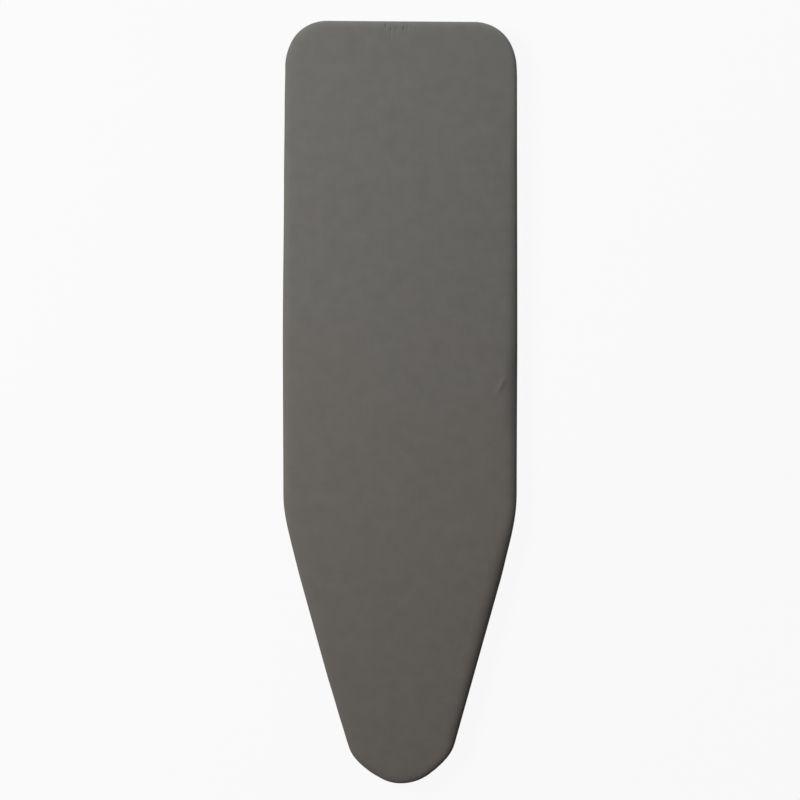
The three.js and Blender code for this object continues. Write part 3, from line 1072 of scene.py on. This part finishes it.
def makeStitches(name, node, height, material):
    runs = runAt(stitch["inset"])
    count = round(runs[-1] / stitch["pitch"])
    away = math.copysign(1, height)
    bm = newGrid(stitch["rings"], stitch["sides"])
    for v in bm.verts:
        share, angle = v.co.x, math.pi * v.co.y
        ending = share ** 4
        radius = stitch["radius"] * (1 - stitch["thinning"] * ending)
        v.co = (share * stitch["length"] / 2, radius * math.cos(angle),
                height + radius * math.sin(angle) - away * stitch["dip"] * ending)
    weldVerts(bm)
    capEnds(bm, stitch["sides"])
    one = bpy.data.objects.new("one stitch", meshOf(bm, "one stitch"))
    scene.collection.objects.link(one)
    row = one.modifiers.new("row", "ARRAY")
    row.count = count
    row.use_relative_offset = False
    row.use_constant_offset = True
    row.constant_offset_displace = (runs[-1] / count, 0, 0)
    mesh = bpy.data.meshes.new_from_object(one.evaluated_get(bpy.context.evaluated_depsgraph_get()))
    mesh.name = name
    bpy.data.objects.remove(one)
    co = readPoints(mesh)
    along = np.interp(np.mod(co[:, 0], runs[-1]), runs, pathAlong)
    level = hemMiddle + co[:, 2] - gather(along, hemDown(stitch["inset"]))
    wrapped = np.column_stack([onPlan(along, stitch["inset"] + co[:, 1]), level])
    stretchUv(mesh, stitch["length"], 2 * math.pi * stitch["radius"])
    mesh.flip_normals()   # the edge runs clockwise, so the row is mirrored on its way round
    return finishPiece(name, mesh, wrapped, material, node)


thread = spunThread()
needlePiece = makeStitches("needle_stitches", "hem_needle_thread", stitch["needleHeight"], thread)
bobbinPiece = makeStitches("bobbin_stitches", "hem_bobbin_thread", stitch["bobbinHeight"], thread)
print("hem sewn")


# camera straight above, tail at the top of the picture

view = {"height": 3.2585, "over": 26.7, "x": -0.98, "y": 3.83, "lens": 90, "sensor": 36}
camera = bpy.data.objects.new("camera", bpy.data.cameras.new("camera"))
camera.data.lens = view["lens"]
camera.data.sensor_width = view["sensor"]
camera.location = (view["x"] * mm, view["y"] * mm, view["over"] * mm + view["height"])
scene.collection.objects.link(camera)
scene.camera = camera

# soft key from the upper left, a low cool light past the tail, even fill, and a floor that reads white

light = {
    "key": {"place": (-1.75, 0.62, 1.95), "size": 1.0, "power": 67, "colour": (1.01, 1, 0.995)},
    "tail": {"place": (0.7, 2.6, 0.55), "size": 0.9, "power": 37, "colour": (0.94, 1, 1.1)},
    "fill": 0.06, "fillColour": (1.1, 1, 0.87), "white": 0.956,
    "floorGlow": 0.926, "floorLit": 0.03, "floorBounce": 0.15, "floorSize": 12, "floorDown": 0.3,
}
for name in ("key", "tail"):
    lamp = bpy.data.objects.new(name + " light", bpy.data.lights.new(name + " light", "AREA"))
    lamp.data.energy = light[name]["power"]
    lamp.data.color = light[name]["colour"]
    lamp.data.shape = "DISK"
    lamp.data.size = light[name]["size"]
    lamp.location = light[name]["place"]
    lamp.rotation_euler = Vector(light[name]["place"]).to_track_quat("Z", "Y").to_euler()
    scene.collection.objects.link(lamp)


def seenDirectly(tree):  # 1 for rays that show the background: straight, in a gloss or through glass
    add = partial(addNode, tree)
    rays = add("LightPath").outputs
    some = add("Math", {0: rays["Is Camera Ray"], 1: rays["Is Glossy Ray"]}, operation="MAXIMUM")
    return add("Math", {0: some, 1: rays["Is Transmission Ray"]}, operation="MAXIMUM")


world = bpy.data.worlds.new("studio")
world.use_nodes = True
scene.world = world
sky = world.node_tree
sky.nodes.clear()
fillSky = addNode(sky, "Background", {"Color": (*light["fillColour"], 1), "Strength": light["fill"]})
whiteSky = addNode(sky, "Background", {"Color": (1, 1, 1, 1), "Strength": light["white"]})
skyMix = addNode(sky, "MixShader", {0: seenDirectly(sky), 1: fillSky, 2: whiteSky})
addNode(sky, "OutputWorld", {"Surface": skyMix})

floorBm = bmesh.new()
bmesh.ops.create_grid(floorBm, x_segments=1, y_segments=1, size=light["floorSize"])
floorMesh = bpy.data.meshes.new("floor")
floorBm.to_mesh(floorMesh)
floorBm.free()
floorMesh.transform(Matrix.Translation((0, 0, -light["floorDown"] * mm)))
floor = bpy.data.objects.new("floor", floorMesh)
scene.collection.objects.link(floor)
floorLook = bpy.data.materials.new("pale_floor")
floorLook.use_nodes = True
ground = floorLook.node_tree
ground.nodes.clear()
bounce, lit = (addNode(ground, "BsdfDiffuse", {"Color": (light[part],) * 3 + (1,)})
               for part in ("floorBounce", "floorLit"))
glow = addNode(ground, "Emission", {"Color": (1, 1, 1, 1), "Strength": light["floorGlow"]})
bright = addNode(ground, "AddShader", {0: lit, 1: glow})
floorMix = addNode(ground, "MixShader", {0: seenDirectly(ground), 1: bounce, 2: bright})
addNode(ground, "OutputMaterial", {"Surface": floorMix})
floorMesh.materials.append(floorLook)

scene.view_settings.view_transform = "Standard"
